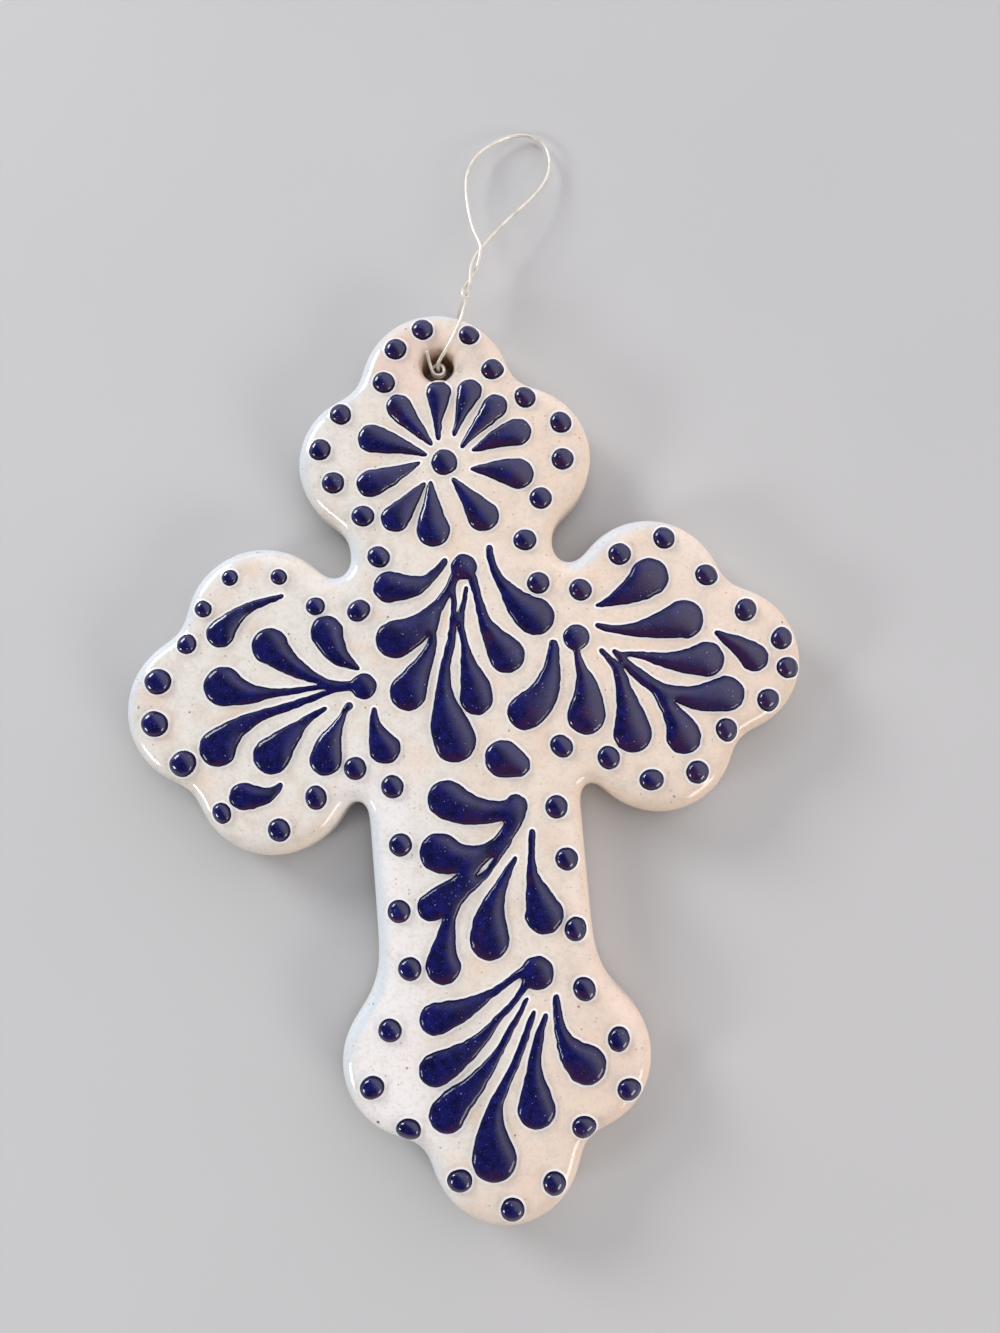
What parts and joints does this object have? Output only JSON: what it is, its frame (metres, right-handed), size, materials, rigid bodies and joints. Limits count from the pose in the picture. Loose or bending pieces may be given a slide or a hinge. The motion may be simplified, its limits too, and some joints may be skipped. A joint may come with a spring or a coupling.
{
  "type": "hanging wall cross",
  "caption": "Glazed ceramic wall cross with trefoil ends, raised blue teardrop brush strokes and border dots, and a twisted wire hanger that swings in the hole at its head.",
  "frame": {"origin": "on the flat back face, where the centre lines of the limbs cross", "axes": "+Z out of the painted front face, +Y along the shaft to the hanging hole, +X to the right as seen from the front"},
  "size_m": [0.1162, 0.1928, 0.0122],
  "materials": {
    "white_glaze": "gloss",
    "cobalt_enamel": "gloss",
    "hanger_steel": "satin"
  },
  "bodies": {
    "cross": {"centre_fan_hub": "cobalt_enamel", "centre_fan_stroke_01": "cobalt_enamel", "centre_fan_stroke_07": "cobalt_enamel", "cross_body": "white_glaze", "flower_hub": "cobalt_enamel", "flower_petal_01": "cobalt_enamel", "flower_petal_02": "cobalt_enamel", "flower_petal_03": "cobalt_enamel", "flower_petal_04": "cobalt_enamel", "flower_petal_05": "cobalt_enamel", "flower_petal_06": "cobalt_enamel", "flower_petal_07": "cobalt_enamel", "flower_petal_08": "cobalt_enamel", "flower_petal_09": "cobalt_enamel", "flower_petal_10": "cobalt_enamel", "flower_petal_11": "cobalt_enamel", "foot_fan_hub": "cobalt_enamel", "foot_fan_stroke_03": "cobalt_enamel", "foot_fan_stroke_04": "cobalt_enamel", "foot_fan_stroke_05": "cobalt_enamel", "foot_fan_stroke_06": "cobalt_enamel", "left_fan_hub": "cobalt_enamel", "left_fan_stroke_01": "cobalt_enamel", "left_fan_stroke_03": "cobalt_enamel", "left_fan_stroke_06": "cobalt_enamel", "left_fan_stroke_07": "cobalt_enamel", "left_fan_stroke_08": "cobalt_enamel", "left_fan_stroke_09": "cobalt_enamel", "loose_drop": "cobalt_enamel", "right_fan_hub": "cobalt_enamel", "right_fan_stroke_01": "cobalt_enamel", "right_fan_stroke_02": "cobalt_enamel", "right_fan_stroke_04": "cobalt_enamel", "right_fan_stroke_05": "cobalt_enamel", "right_fan_stroke_09": "cobalt_enamel", "shaft_fan_hub": "cobalt_enamel", "shaft_fan_stroke_05": "cobalt_enamel", "shaft_fan_stroke_06": "cobalt_enamel"},
    "hanger": {"hanger_wire": "hanger_steel"}
  },
  "joints": [
    {"name": "hanger_swing", "type": "hinge", "parent": "cross", "child": "hanger", "pos_m": [0, 0.0563, 0], "axis": [0, 0, 1], "range_deg": [-38, 82]}
  ]
}
